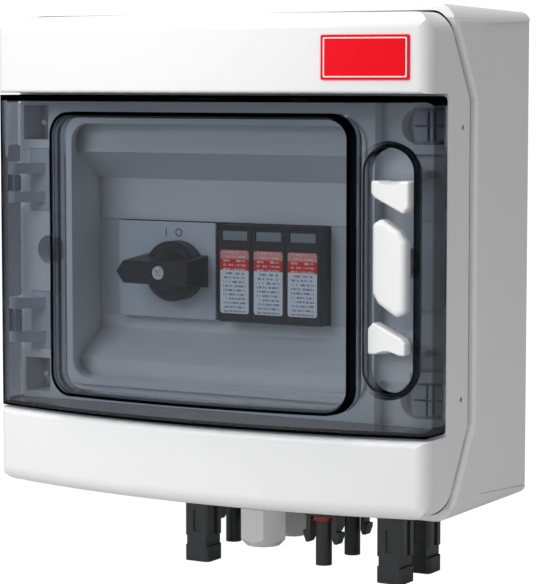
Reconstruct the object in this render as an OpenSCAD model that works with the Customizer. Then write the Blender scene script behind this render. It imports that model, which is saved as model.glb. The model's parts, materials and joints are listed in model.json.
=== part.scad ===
// DC combiner box for wall mounting: a two-part moulded enclosure with a hinged, tinted door over a
// DIN-rail mask. Inside are a rotary isolator and three plug-in surge arresters on one rail. Cable
// glands and panel connectors leave through the bottom wall.
// Frame, millimetres: X right, Y into the wall, Z up. The origin is the centre of the back face,
// so the wall plane is Y = 0 and the front of the box is at negative Y.

/* [Base] */
// Width across the rim of the base
base_w = 227; // [225:1:230]
// Height across the rim of the base
base_h = 224; // [222:1:227]
// Wall thickness of the base
base_wall = 3; // [2.4:0.2:3.4]
// Radius of the base corners seen from the front
base_corner = 10; // [8:1:12]
// Depth of the shallow sunken panel in each side of the base
side_panel_depth = 0.5; // [0.2:0.1:0.8]

/* [Front cover] */
// Depth from the wall to the middle of the bowed front
front_y = 115; // [112:1:118]
// Radius of the bowed front, seen from above
bow_r = 408; // [380:4:440]
// Wall thickness of the cover
cover_wall = 2.8; // [2.2:0.2:3.2]
// Edge rounding between the front and the top and bottom
bar_round = 7; // [5:0.5:8]
// Corner radius of the recess around the mask
recess_corner = 8; // [4:1:10]
// Slots of 17.5 to 18 mm in the mask cut-out
modules_wide = 8; // [8:1:8]

/* [Door] */
// Wall thickness of the tinted door
door_wall = 2.4; // [2:0.2:2.8]
// Height of the raised window above the door front
window_rise = 5.6; // [4:0.2:6]
// Corner radius of the raised window
window_corner = 11; // [8:1:14]

/* [Devices] */
// Across the turning disc of the isolator handle
knob_d = 28; // [24:1:30]
// Distance from the pivot to the tip of the pointer
knob_tip = 22.2; // [19:0.2:22.2]
// Pitch of the surge arrester plugs
plug_pitch = 17.8; // [17.6:0.1:18]

/* [Bottom fittings] */
// Cable hole radius of the large gland seal
gland_bore_r = 4; // [3:0.5:5]
// Cable hole radius of the small gland seal
small_bore_r = 2.5; // [2:0.5:3]

/* [Hidden] */
$fn = 64;
cover_w = base_w - 3;
cover_h = base_h - 8;
cover_corner = 9;
side_round = 7;
bow_cy = bow_r - front_y;
back_w = base_w;
back_h = base_h - 4;
back_corner = 5;
// Depth of the rim in the middle of the sides and at the top and bottom, and where it changes
rim_mid_y = -56.1;
rim_end_y = -77;
rim_mid_z = 71;
rim_end_z = 106;
rim_gap = 3.6;
rim_chamfer = 1.2;
rim_chamfer_depth = 1.8;
gasket_inset = 3.4;
gasket_w = 1.2;
// Bay behind the door
floor_y = -81;
floor_t = 3;
bay_z = 73.5;
low_floor_y = -73.5;
low_floor_x0 = 77.3;
low_floor_x1 = 108.4;
// Mask and its cut-out
mask_y = -54;
mask_wall = 2.5;
din_z = -9;
cut_h = 45.5;
cut_x0 = -84.2;
cut_x1 = cut_x0 + 18 * modules_wide;
rec_x0 = -84.2;
rec_x1 = 70.2;
rec_z0 = -59.3;
rec_z1 = 59.3;
lip_h = 1.4;
lip_over = 3.4;
// Cover screws
screw_x = 100;
screw_z = 59.5;
well_y = -66;
well_r = 8;
well_left = 86.2;
mid_well_left = 94.3;
mid_well_right = 91.2;
mid_well_r = 6.9;
mid_well_depth = 11;
side_x = 108.6;
boss_y = -63;
head_y = -72;
head_r = 7.4;
// Plain badge
badge_x0 = 66;
badge_x1 = 104;
badge_z0 = 79.3;
badge_z1 = 98.3;
// Hinge
hinge_x = -106.9;
hinge_y = -91;
pin_r = 1.25;
pin_gap = 0.05;
arm_t = 5;
hinge_plates = [[18.4, 47.2], [-46.8, -20]];
hinge_arms = [[35.6, 22.2], [-27.7, -43.6]];
plate_x0 = -104.8;
plate_x1 = -94.4;
// Door
door_z = 72.5;
door_rear = -81.8;
door_rear_left = -82.8;
door_round = 2;
win_x0 = -71.4;
win_x1 = 81.5;
win_z0 = -63.3;
win_z1 = 65;
rib_depth = 3;
// Latch pocket
slot_x0 = 83.3;
slot_x1 = 107.2;
slot_z0 = -54.8;
slot_z1 = 52.4;
slot_wall = 1.4;
slot_floor_y = -98;
slot_floor_t = 2;
// Latch: front of the grip and tabs, tab stems, and their slides behind the pocket floor
latch_front_y = -104;
latch_mid_x = 95.1;
stem_x0 = 95.6;
stem_x1 = 100.6;
hook_y = -79.4;
slide_y = slot_floor_y + slot_floor_t + 0.1;
slide_t = 1.6;
squeeze = 5;
stem_z = 33.4;
stem_gap = 0.4;
stem_half = 2;
// Isolator and surge arrester
iso_x0 = -70.1;
iso_x1 = -17.1;
iso_face_y = -59;
knob_x = -36.7;
knob_base_y = -68;
knob_front_y = -78;
knob_end = 15.8;
spd_x0 = -12.6;
plug_y = -64;
plug_w = plug_pitch - 0.3;
rail_y = -10.5;
rail_back_y = -3;
// Bottom fittings: four columns by two rows
row_front = -57;
row_rear = -29.5;
col_out = -25.5;
col_gland = 7;
col_in_a = 39;
col_in_b = 75.5;
seat_z = -111.5;
seat_top_z = -103.5;
seat_r = 12.6;
nut_t = 4;
thread_r = 8;

// ---------- shared shapes ----------

// Rounded rectangle between two corners
module rrect(a0, b0, a1, b1, r) {
  translate([a0 + r, b0]) square([a1 - a0 - 2 * r, b1 - b0]);
  translate([a0, b0 + r]) square([a1 - a0, b1 - b0 - 2 * r]);
  for (a = [a0 + r, a1 - r], b = [b0 + r, b1 - r]) translate([a, b]) circle(r = r);
}

// Flat X-Z shape made solid from y0 to y1
module along_y(y0, y1) {
  translate([0, y1, 0]) rotate([90, 0, 0]) linear_extrude(y1 - y0) children();
}

// Flat Y-Z shape made solid from x0 to x1
module along_x(x0, x1) {
  translate([x0, 0, 0]) rotate([90, 0, 90]) linear_extrude(x1 - x0) children();
}

// Box between two corners
module block(a, b) {
  translate(a) cube([b[0] - a[0], b[1] - a[1], b[2] - a[2]]);
}

// Round bar along Y
module rod_y(x, z, y0, y1, r) {
  translate([x, y1, z]) rotate([90, 0, 0]) cylinder(r = r, h = y1 - y0);
}

// Side view line of the base rim, moved by dy; everything in front of it
module front_of_rim(dy) {
  far = -140;
  hz = 130;
  polygon([[far, -hz], [rim_end_y + dy, -hz], [rim_end_y + dy, -rim_end_z],
    [rim_mid_y + dy, -rim_mid_z], [rim_mid_y + dy, rim_mid_z], [rim_end_y + dy, rim_end_z],
    [rim_end_y + dy, hz], [far, hz]]);
}

// ---------- base ----------

// Chamfers round the front edge of the rim: leaning cuts at the sides, wedges at top and bottom
module rim_chamfers() {
  lean = atan(rim_chamfer_depth / rim_chamfer);
  edge_x = base_w / 2 - rim_chamfer;
  edge_z = base_h / 2 - rim_chamfer;
  for (s = [0, 1]) mirror([s, 0, 0]) translate([edge_x, 0, 0]) rotate([0, 0, lean])
    along_x(-80, -20) front_of_rim_scaled(cos(lean));
  for (s = [0, 1]) mirror([0, 0, s]) along_x(-130, 130)
    polygon([[rim_end_y - 2, edge_z], [rim_end_y, edge_z],
      [rim_end_y + rim_chamfer_depth, edge_z + rim_chamfer],
      [rim_end_y + rim_chamfer_depth, edge_z + 5], [rim_end_y - 2, edge_z + 5]]);
}

// Region in front of the rim with its depths multiplied by k
module front_of_rim_scaled(k) {
  far = -60;
  hz = 130;
  polygon([[far, -hz], [rim_end_y * k, -hz], [rim_end_y * k, -rim_end_z],
    [rim_mid_y * k, -rim_mid_z], [rim_mid_y * k, rim_mid_z], [rim_end_y * k, rim_end_z],
    [rim_end_y * k, hz], [far, hz]]);
}

// Body of the base with every side moved in by t, narrowing evenly towards the wall
module base_form(t, y1) {
  slice = 0.01;
  out = -rim_end_y + 10;
  hull() for (y = [-out, y1 - slice]) {
    f = y / rim_end_y;
    hw = back_w / 2 + (base_w - back_w) / 2 * f - t;
    hh = back_h / 2 + (base_h - back_h) / 2 * f - t;
    r = back_corner + (base_corner - back_corner) * f - t / 2;
    along_y(y, y + slice) rrect(-hw, -hh, hw, hh, r, $fn = 32);
  }
}

// Round seats in the bottom wall for the connectors and glands, between two heights
module bottom_seats(z0, z1) {
  for (x = [col_out, col_gland, col_in_a, col_in_b], y = [row_front, row_rear])
    translate([x, y, z0]) cylinder(r = seat_r, h = z1 - z0);
}

// Sunken panel outline on the side of the base
module side_panel() {
  polygon([[1, -106.4], [-49, -103], [-38.5, -76], [-38.5, 77], [-47.5, 103.6], [1, 105.9]]);
}

module base_box() {
  color([0.86, 0.86, 0.86]) difference() {
    union() {
      difference() {
        base_form(0, 0);
        along_x(-130, 130) front_of_rim(0);
        rim_chamfers();
        base_form(base_wall, -base_wall);
      }
      bottom_seats(seat_z, seat_top_z);
      for (s = [-1, 1], t = [-1, 1]) {
        rod_y(s * screw_x, t * screw_z, boss_y, -1, 6);
        rod_y(s * 88, t * 92, -10, -1, 7);
      }
      for (x = [-78, 56]) rod_y(x, din_z, -2.9, -1, 5);
    }
    for (s = [-1, 1], t = [-1, 1]) {
      rod_y(s * screw_x, t * screw_z, boss_y - 1, -8, 3.1);
      rod_y(s * 88, t * 92, -20, 5, 2.6);
      rod_y(s * 88, t * 92, -20, -5, 5);
    }
    for (x = [-78, 56]) rod_y(x, din_z, -4, -1.2, 1.6);
    // Spot faces
    bottom_seats(seat_z - 3, seat_z);
    for (x = [col_out, col_in_a, col_in_b], y = [row_front, row_rear])
      translate([x, y, -120]) cylinder(r = thread_r + 0.1, h = 20);
    translate([col_gland, row_front, -120]) cylinder(r = thread_r + 0.1, h = 20);
    translate([col_gland, row_rear, -120]) cylinder(r = 6.1, h = 20);
    for (s = [0, 1]) mirror([s, 0, 0]) intersection() {
      along_x(90, 130) side_panel();
      difference() {
        block([90, -60, -115], [130, 1, 115]);
        base_form(side_panel_depth, 2);
      }
    }
  }
}

// ---------- front cover ----------

// Seen from above: bowed front moved in by t, rounded with radius r2 into straight sides
module plan_form(t, r2) {
  r1 = bow_r - t;
  hw = cover_w / 2 - t;
  cx = hw - r2;
  cy = bow_cy - sqrt((r1 - r2) * (r1 - r2) - cx * cx);
  tx = cx * r1 / (r1 - r2);
  intersection() {
    translate([0, bow_cy]) circle(r = r1, $fn = 360);
    translate([-tx, -140]) square([2 * tx, 140]);
  }
  translate([-hw, cy]) square([2 * hw, -cy]);
  for (s = [-1, 1]) translate([s * cx, cy]) circle(r = r2);
}

// Solid swept round the bow axis between two heights, front edges rounded by r
module bowed(z0, z1, t, r) {
  r0 = bow_r - 130;
  r1 = bow_r - t;
  translate([0, bow_cy, 0]) rotate_extrude($fn = 360) {
    translate([r0, z0]) square([r1 - r - r0, z1 - z0]);
    translate([r0, z0 + r]) square([r1 - r0, z1 - z0 - 2 * r]);
    for (z = [z0 + r, z1 - r]) translate([r1 - r, z]) circle(r = r);
  }
}

// Whole cover moved in by t
module cover_form(t) {
  hw = cover_w / 2 - t;
  hh = cover_h / 2 - t;
  intersection() {
    bowed(-hh, hh, t, max(bar_round - t, 1));
    translate([0, 0, -130]) linear_extrude(260) plan_form(t, max(side_round - t, 1));
    along_y(-130, 0) rrect(-hw, -hh, hw, hh, cover_corner - t / 2);
  }
}

// Skirt of the cover that reaches into the base
module skirt() {
  hw = cover_w / 2 - 3.2;
  hh = cover_h / 2 - 3.2;
  w = 2.2;
  intersection() {
    difference() {
      along_y(-100, -30) rrect(-hw, -hh, hw, hh, cover_corner - 2);
      along_y(-101, -29) rrect(-hw + w, -hh + w, hw - w, hh - w, cover_corner - 4);
    }
    along_x(-130, 130) intersection() {
      front_of_rim(5);
      translate([-100, -130]) square([80, 260]);
    }
    along_x(-130, 130) difference() {
      translate([-100, -130]) square([80, 260]);
      front_of_rim(-rim_gap - 6);
    }
  }
}

// Side view of the recess, grown by g
module recess_side(g) {
  polygon([[floor_y - 6, rec_z0 - g], [-72 + g, rec_z0 - g], [-72 + g, -51 - g / 2],
    [mask_y + g, -38 - g / 2], [mask_y + g, 33 + g / 2], [-73 + g, 46 + g / 2],
    [-73 + g, rec_z1 + g], [floor_y - 6, rec_z1 + g]]);
}

module recess(g) {
  intersection() {
    along_x(rec_x0 - g, rec_x1 + g) recess_side(g);
    along_y(-100, -30) rrect(rec_x0 - g, rec_z0 - g, rec_x1 + g, rec_z1 + g, recess_corner + g);
  }
}

// Screw wells: square ones beside the hinges, half-round ones beside the latch
module square_well(g) {
  block([-side_x - g, floor_y - 4, screw_z - well_r - g],
    [-94.6 + g, well_y + g, screw_z + well_r + g]);
}

// Blind round wells halfway up on both sides
module mid_wells(g) {
  for (w = [[-mid_well_left, floor_y], [mid_well_right, low_floor_y]])
    rod_y(w[0], 0, floor_y - 4, w[1] + mid_well_depth + g, mid_well_r + g);
}

module round_well(g) {
  rod_y(well_left + well_r, screw_z, floor_y - 4, well_y + g, well_r + g);
  block([well_left + well_r, floor_y - 4, screw_z - well_r - g],
    [side_x + g, well_y + g, screw_z + well_r + g]);
}

// Shallow pockets that take a hinge bracket, in hinge side position, with their bottom at y1
module hinge_pocket(g, y1) {
  for (p = hinge_plates)
    block([plate_x0 - 0.2 - g, floor_y - 5, p[0] - 0.2 - g],
      [plate_x1 + 0.2 + g, y1 + g, p[1] + 0.2 + g]);
}

// Waste that leaves the lower edge of the upper bar rounded by r
module bay_edge(r) {
  translate([0, bow_cy, 0]) rotate_extrude($fn = 360) difference() {
    translate([bow_r - r, bay_z - 1]) square([r + 1, r + 1]);
    translate([bow_r - r, bay_z + r]) circle(r = r);
  }
}

module cover_moulding() {
  difference() {
    union() {
      intersection() {
        difference() {
          union() {
            difference() {
              cover_form(0);
              cover_form(cover_wall);
            }
            intersection() {
              cover_form(1);
              union() {
                for (s = [0, 1]) mirror([0, 0, s])
                  block([-130, -130, bay_z], [130, floor_y + 2, bay_z + cover_wall]);
                block([-130, floor_y, -bay_z - cover_wall], [130, floor_y + floor_t,
                  bay_z + cover_wall]);
                block([low_floor_x0 - 2.5, floor_y + 1, -bay_z - cover_wall],
                  [130, low_floor_y + floor_t, bay_z + cover_wall]);
              }
            }
          }
          block([-130, -140, -bay_z], [130, floor_y, bay_z]);
          bay_edge(1.5);
          mirror([0, 0, 1]) bay_edge(3);
        }
        along_x(-130, 130) front_of_rim(-rim_gap);
      }
      skirt();
      intersection() {
        cover_form(1);
        union() {
          recess(mask_wall);
          for (s = [0, 1]) mirror([0, 0, s]) {
            square_well(2);
            intersection() {
              round_well(2);
              block([60, floor_y + 0.5, 0], [130, 0, 100]);
            }
          }
          intersection() {
            union() {
              mid_wells(2);
              hinge_pocket(2, floor_y + 2.5);
              mirror([1, 0, 0]) hinge_pocket(2, low_floor_y + 2.5);
            }
            block([-130, floor_y + 0.5, -100], [130, 0, 100]);
          }
        }
        block([-130, floor_y, -bay_z], [130, 0, bay_z]);
      }
      // Lip around the recess
      along_y(floor_y - lip_h, floor_y + 1)
        rrect(rec_x0 - 3, rec_z0 - 3, rec_x1 + 3, rec_z1 + 3, recess_corner + 3);
    }
    recess(0);
    block([low_floor_x0, floor_y - 1, -bay_z + 2.5], [low_floor_x1, low_floor_y, bay_z - 2.5]);
    for (s = [0, 1]) mirror([0, 0, s]) {
      square_well(0);
      round_well(0);
    }
    hinge_pocket(0, floor_y + 2.5);
    mirror([1, 0, 0]) hinge_pocket(0, low_floor_y + 2.5);
    mid_wells(0);
    for (s = [-1, 1]) {
      for (t = [-1, 1]) {
        rod_y(s * screw_x, t * screw_z, -80, -50, 3.2);
        translate([s * cover_w / 2, -66.5, t * 59]) rotate([0, -s * 90, 0])
          translate([0, 0, -1]) cylinder(r = 1.2, h = 2.6);
      }
    }
    along_y(mask_y - 5, mask_y + 5)
      translate([cut_x0, din_z - cut_h / 2]) square([cut_x1 - cut_x0, cut_h]);
  }
}

// Part of the lip that stands over the hinge side of the recess
module lip_overhang() {
  along_y(floor_y - lip_h, floor_y + 1) difference() {
    rrect(rec_x0 - 1, rec_z0 - 1, rec_x0 + 14, rec_z1 + 1, 4);
    rrect(rec_x0 + lip_over, rec_z0, rec_x1 + 30, rec_z1, recess_corner);
  }
}

// Moulding with two striker ribs behind the latch
module front_cover() {
  color([0.93, 0.93, 0.93]) {
    cover_moulding();
    lip_overhang();
    for (z = [37.2, -40.2]) block([89, -83, z], [101, low_floor_y + 1, z + 3]);
  }
}

// Sealing cord that shows in the joint between cover and base
module cover_gasket() {
  hw = base_w / 2 - gasket_inset;
  hh = base_h / 2 - gasket_inset - 0.6;
  w = gasket_w;
  color([0.62, 0.62, 0.63]) intersection() {
    difference() {
      along_y(-100, -30) rrect(-hw, -hh, hw, hh, base_corner - 2);
      along_y(-101, -29) rrect(-hw + w, -hh + w, hw - w, hh - w, base_corner - 3);
    }
    along_x(-130, 130) difference() {
      front_of_rim(-0.1);
      front_of_rim(-rim_gap + 0.1);
    }
  }
}

// Snap-in blanking strip between x0 and x1 in the cut-out
module blank_strip(x0, x1) {
  color([0.8, 0.8, 0.81]) {
    along_y(mask_y - 0.4, mask_y + mask_wall) translate([x0, din_z - cut_h / 2 + 0.2])
      square([x1 - x0, cut_h - 0.4]);
    for (s = [-1, 1]) block([x0 + 2, mask_y + mask_wall + 0.3, din_z + s * 22.4 - 1.5],
      [x1 - 2, mask_y + mask_wall + 1.8, din_z + s * 22.4 + 1.5]);
    block([x0 + 3, mask_y + 2, din_z - 21], [x1 - 3, mask_y + mask_wall + 1.8, din_z + 21]);
  }
}

module blank_left() { blank_strip(cut_x0 + 0.3, iso_x0 - 0.4); }
module blank_right() { blank_strip(spd_x0 + 3 * plug_pitch + 0.4, cut_x1 - 0.3); }

// Quarter-turn screw on the hinge side: small cross-slot head with a pull stud, plain shank
module pull_screw(z) {
  r = 4.5;
  color([0.4, 0.41, 0.43]) {
    difference() {
      union() {
        rod_y(-screw_x, z, well_y - 3, well_y - 0.1, r);
        rod_y(-screw_x, z, well_y - 0.2, -12, 2.9);
      }
      for (a = [0, 90]) translate([-screw_x, 0, z]) rotate([0, a, 0])
        block([-r + 1, well_y - 4, -0.6], [r - 1, well_y - 1.8, 0.6]);
    }
    rod_y(-screw_x, z, well_y - 11, well_y - 1, 1.3);
  }
}

// Quarter-turn screw on the latch side: wide head, cross slot to the rim, notched edge
module thumb_screw(z) {
  notches = 12;
  color([0.8, 0.8, 0.81]) difference() {
    union() {
      rod_y(screw_x, z, head_y + 1, well_y - 0.1, head_r);
      rod_y(screw_x, z, head_y, head_y + 1.1, head_r - 0.8);
      rod_y(screw_x, z, well_y - 0.2, -12, 2.9);
    }
    for (a = [0, 90]) translate([screw_x, 0, z]) rotate([0, a, 0])
      block([-head_r - 1, head_y - 1, -0.45], [head_r + 1, head_y + 1.6, 0.45]);
    for (i = [0:notches - 1]) translate([screw_x, 0, z])
      rotate([0, (i + 0.5) * 360 / notches, 0])
        rod_y(head_r + 0.5, 0, head_y - 1, well_y - 1.2, 1.1);
  }
}

module screws_hinge_side_upper() { pull_screw(screw_z); }
module screws_hinge_side_lower() { pull_screw(-screw_z); }
module screws_latch_side_upper() { thumb_screw(screw_z); }
module screws_latch_side_lower() { thumb_screw(-screw_z); }

// Plain badge on the upper bar
module badge() {
  color([0.8, 0.05, 0.08]) intersection() {
    difference() {
      bowed(60, 120, -0.5, 1);
      bowed(50, 130, -0.02, 1);
    }
    along_y(-125, -90) rrect(badge_x0, badge_z0, badge_x1, badge_z1, 0.8);
  }
}

// ---------- door ----------

// Door outline moved in by t
module door_form(t) {
  intersection() {
    bowed(-door_z + t, door_z - t, t, max(door_round - t, 0.4));
    translate([0, 0, -130]) linear_extrude(260) plan_form(t, side_round);
    along_y(-130, door_rear) rrect(-cover_w / 2 + t, -door_z + t, cover_w / 2 - t, door_z - t, 2);
  }
}

module window_form(t) {
  intersection() {
    bowed(-100, 100, t - window_rise, 1);
    along_y(-140, -95) rrect(win_x0 + t, win_z0 + t, win_x1 - t, win_z1 - t, window_corner - t);
  }
}

// Latch pocket outline moved in by t
module slot_form(t) {
  r = (slot_x1 - slot_x0) / 2 - t;
  rrect(slot_x0 + t, slot_z0 + t, slot_x1 - t, slot_z1 - t, r - 0.01);
}

// Rib behind the door front that carries the side walls of the window further in
module window_rib() {
  intersection() {
    difference() {
      bowed(-100, 100, door_wall - 0.1, 1);
      bowed(-101, 101, door_wall + rib_depth, 1);
    }
    along_y(-140, -90) difference() {
      rrect(win_x0, win_z0, win_x1, win_z1, window_corner);
      rrect(win_x0 + door_wall, win_z0 + door_wall, win_x1 - door_wall, win_z1 - door_wall,
        window_corner - door_wall);
    }
  }
}

// Slot in the pocket floor for the stem of the upper tab and its travel
module stem_slot() {
  block([stem_x0 - stem_gap, slot_floor_y - 1, stem_z - stem_half - squeeze - stem_gap],
    [stem_x1 + stem_gap, slot_floor_y + slot_floor_t + 1, stem_z + stem_half + stem_gap]);
}

module door() {
  color([0.32, 0.36, 0.42, 0.45]) difference() {
    union() {
      difference() {
        union() {
          door_form(0);
          window_form(0);
        }
        intersection() {
          door_form(door_wall);
          block([-130, -140, -100], [130, 0, 100]);
        }
        translate([0, 1, 0]) intersection() {
          door_form(door_wall);
          block([-130, -100, -100], [130, 0, 100]);
        }
        window_form(door_wall);
      }
      window_rib();
      intersection() {
        along_y(-130, slot_floor_y + slot_floor_t) slot_form(0);
        door_form(0.3);
      }
      // Knuckles around the hinge pins
      for (i = [0, 1]) {
        z0 = hinge_arms[i][1] + arm_t + 0.3;
        z1 = hinge_arms[i][0] - 0.3;
        translate([hinge_x, hinge_y, z0]) cylinder(r = 2.9, h = z1 - z0);
        block([-110, hinge_y - 2.9, z0], [hinge_x, hinge_y + 1.2, z1]);
      }
    }
    along_y(-140, slot_floor_y) slot_form(slot_wall);
    block([-113, door_rear_left, -100], [-104, -70, 100]);
    // Slots that the tab stems pass through
    stem_slot();
    translate([2 * latch_mid_x, 0, 0]) rotate([0, 180, 0]) stem_slot();
    // Pin bores, and notches that let the hinge arms pass
    for (i = [0, 1]) {
      translate([hinge_x, hinge_y, hinge_arms[i][1] - 2])
        cylinder(r = pin_r + pin_gap, h = hinge_arms[i][0] - hinge_arms[i][1] + arm_t + 4);
      for (z = hinge_arms[i]) block([-113, hinge_y - 3, z - 0.5], [-104.5, -80, z + arm_t + 0.5]);
    }
  }
}

// Bracket in its pocket with two arms that hold the pin
module hinge_bracket(i) {
  p = hinge_plates[i];
  color([0.6, 0.63, 0.66]) difference() {
    union() {
      block([plate_x0, floor_y, p[0]], [plate_x1, floor_y + 2.4, p[1]]);
      for (z = hinge_arms[i]) translate([0, 0, z]) linear_extrude(arm_t) {
        translate([hinge_x, hinge_y]) circle(r = 2.4);
        polygon([[-108.86, -89.61], [-104.94, -92.39], [-98.2, -83], [-96, floor_y + 1],
          [-103, floor_y + 1], [-103, -82]]);
      }
    }
    translate([hinge_x, hinge_y, hinge_arms[i][1] - 2])
      cylinder(r = pin_r, h = hinge_arms[i][0] - hinge_arms[i][1] + arm_t + 4);
  }
}

module hinge_bracket_upper() { hinge_bracket(0); }
module hinge_bracket_lower() { hinge_bracket(1); }

module hinge_pins() {
  color([0.75, 0.76, 0.78]) for (i = [0, 1])
    translate([hinge_x, hinge_y, hinge_arms[i][1] + 0.4])
      cylinder(r = pin_r, h = hinge_arms[i][0] - hinge_arms[i][1] + arm_t - 0.8);
}

// ---------- latch ----------

// Prism through the given X-Z corners with round edges of radius r in front
module round_prism(corners, r, front) {
  hull() for (c = corners) translate([c[0], 0, c[1]]) {
    translate([0, front + r, 0]) sphere(r = r, $fn = 32);
    rotate([90, 0, 0]) translate([0, 0, -slot_floor_y + 0.05])
      cylinder(r = r, h = slot_floor_y - front - r, $fn = 32);
  }
}

// Fixed grip between the tabs, the same when turned by half a turn
module latch_grip() {
  r = 2.4;
  half = [[89.6, 17.2], [91.4, 18.1], [98.4, 13.7], [100.6, 10.2]];
  color([0.95, 0.95, 0.95])
    round_prism(concat(half, [for (c = half) [2 * latch_mid_x - c[0], -c[1]]]), r, latch_front_y);
}

// Finger tab in upper position: wedge with a scooped end, stem, slide and hook
module latch_tab() {
  r = 1;
  top_z = 36.9;
  scoop_r = 11;
  scoop_depth = 1.5;
  difference() {
    round_prism([[87.9, top_z - r], [103.7, top_z - r], [103.7, 26.4], [101.8, 24.4], [89, 30.6],
      [87.9, 32]], r, latch_front_y);
    translate([95.6, latch_front_y, top_z + scoop_r - scoop_depth]) rotate([-76, 0, 0])
      translate([0, 0, -6]) cylinder(r = scoop_r, h = 30);
  }
  block([stem_x0, slot_floor_y - 2, stem_z - stem_half], [stem_x1, hook_y, stem_z + stem_half]);
  block([stem_x0, hook_y - 2, stem_z], [stem_x1, hook_y, top_z - 0.1]);
  block([86.5, slide_y, 27], [104.8, slide_y + slide_t, 44.5]);
  block([88, slide_y, 44], [103.3, slide_y + slide_t, 49]);
}

module latch_tab_upper() {
  color([0.95, 0.95, 0.95]) latch_tab();
}

// The lower tab is the same moulding turned by half a turn about the middle of the pocket
module latch_tab_lower() {
  color([0.95, 0.95, 0.95]) translate([2 * latch_mid_x, 0, 0]) rotate([0, 180, 0]) latch_tab();
}

// ---------- rail and devices ----------

module din_rail() {
  z = din_z;
  color([0.78, 0.79, 0.8]) difference() {
    along_x(-92, 70) polygon([[rail_y, z - 17.5], [rail_y, z - 12.5], [rail_back_y - 1, z - 12.5],
      [rail_back_y - 1, z + 12.5], [rail_y, z + 12.5], [rail_y, z + 17.5], [rail_y + 1, z + 17.5],
      [rail_y + 1, z + 13.5], [rail_back_y, z + 13.5], [rail_back_y, z - 13.5],
      [rail_y + 1, z - 13.5], [rail_y + 1, z - 17.5]]);
    for (x = [-78, 56]) rod_y(x, z, -8, 0, 2.2);
    for (x = [-60:25:40]) block([x, -8, z - 2.6], [x + 14, 0, z + 2.6]);
  }
}

module rail_screws() {
  color([0.7, 0.71, 0.72]) for (x = [-78, 56]) difference() {
    union() {
      rod_y(x, din_z, rail_back_y - 3.4, rail_back_y - 1.05, 3.6);
      rod_y(x, din_z, rail_back_y - 2, -1.3, 1.5);
    }
    for (a = [0, 90]) translate([x, 0, din_z]) rotate([0, a, 0])
      block([-2.2, -8, -0.5], [2.2, rail_back_y - 2.2, 0.5]);
  }
}

// Device side view: wide back, narrow nose that passes the cut-out
module device_side(nose_y, tower_y) {
  polygon([[-6, din_z - 38], [tower_y, din_z - 38], [tower_y, din_z - 22.4], [nose_y, din_z - 22.4],
    [nose_y, din_z + 22.4], [tower_y, din_z + 22.4], [tower_y, din_z + 38], [-6, din_z + 38],
    [-6, din_z + 18], [rail_y - 0.1, din_z + 18], [rail_y - 0.1, din_z - 18], [-6, din_z - 18]]);
}

module isolator_body() {
  color([0.2, 0.2, 0.21]) difference() {
    along_x(iso_x0, iso_x1) device_side(iso_face_y + 1.6, -40);
    for (i = [0:3], s = [-1, 1]) {
      rod_y(iso_x0 + 6.6 + i * 13.3, din_z + s * 30, -45, -30, 3.4);
      block([iso_x0 + 2.6 + i * 13.3, -26, din_z + s * 34 - 5],
        [iso_x0 + 10.6 + i * 13.3, -14, din_z + s * 34 + 5]);
    }
    rod_y(knob_x, din_z, -60, -46, 4.1);
  }
}

module isolator_plate() {
  color([0.78, 0.79, 0.8]) difference() {
    along_y(iso_face_y, iso_face_y + 1.5)
      rrect(iso_x0 - 0.1, din_z - 22.4, iso_x1 + 0.1, din_z + 22.4, 1.5);
    rod_y(knob_x, din_z, -61, -50, 4.2);
  }
}

module isolator_terminals() {
  color([0.72, 0.68, 0.55]) for (i = [0:3], s = [-1, 1]) difference() {
    rod_y(iso_x0 + 6.6 + i * 13.3, din_z + s * 30, -34, -30.1, 3.2);
    block([iso_x0 + 3.6 + i * 13.3, -36, din_z + s * 30 - 0.5],
      [iso_x0 + 9.6 + i * 13.3, -33, din_z + s * 30 + 0.5]);
  }
}

// Rotary handle, pointer to the left when off: disc with a bevelled edge and a tapered bar
module isolator_knob() {
  edge = 1.4;
  bar_half = 7.4;
  bar_half_front = 5.2;
  color([0.09, 0.09, 0.1]) difference() {
    union() {
      rod_y(knob_x, din_z, knob_base_y + edge, iso_face_y - 0.3, knob_d / 2);
      translate([knob_x, knob_base_y, din_z]) rotate([-90, 0, 0])
        cylinder(r1 = knob_d / 2 - edge, r2 = knob_d / 2, h = edge + 0.01);
      translate([knob_x, knob_front_y + 4, din_z]) rotate([-90, 0, 0])
        cylinder(r1 = bar_half_front + 1.6, r2 = bar_half + 3, h = 6.1);
      rod_y(knob_x, din_z, iso_face_y - 1, -47, 4);
      intersection() {
        translate([0, 0, din_z]) along_x(knob_x - knob_tip, knob_x + knob_end)
          polygon([[knob_front_y, -bar_half_front], [knob_front_y, bar_half_front],
            [iso_face_y - 0.3, bar_half], [iso_face_y - 0.3, -bar_half]]);
        along_y(knob_front_y, iso_face_y - 0.3) translate([knob_x, din_z])
          polygon([[-knob_tip, 0.4], [5.2 - knob_tip, bar_half], [knob_end, bar_half],
            [knob_end, -bar_half], [5.2 - knob_tip, -bar_half], [-knob_tip, -0.4]]);
      }
    }
    rod_y(knob_x, din_z, -80, -75, 3.6);
    rod_y(knob_x, din_z, -80, -64, 1.7);
  }
}

module knob_screw() {
  color([0.8, 0.8, 0.82]) difference() {
    union() {
      rod_y(knob_x, din_z, -77.6, -75.05, 3.1);
      rod_y(knob_x, din_z, -76, -65, 1.6);
    }
    for (a = [45, 135]) translate([knob_x, 0, din_z]) rotate([0, a, 0])
      block([-1.9, -79, -0.45], [1.9, -76.4, 0.45]);
  }
}

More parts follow.
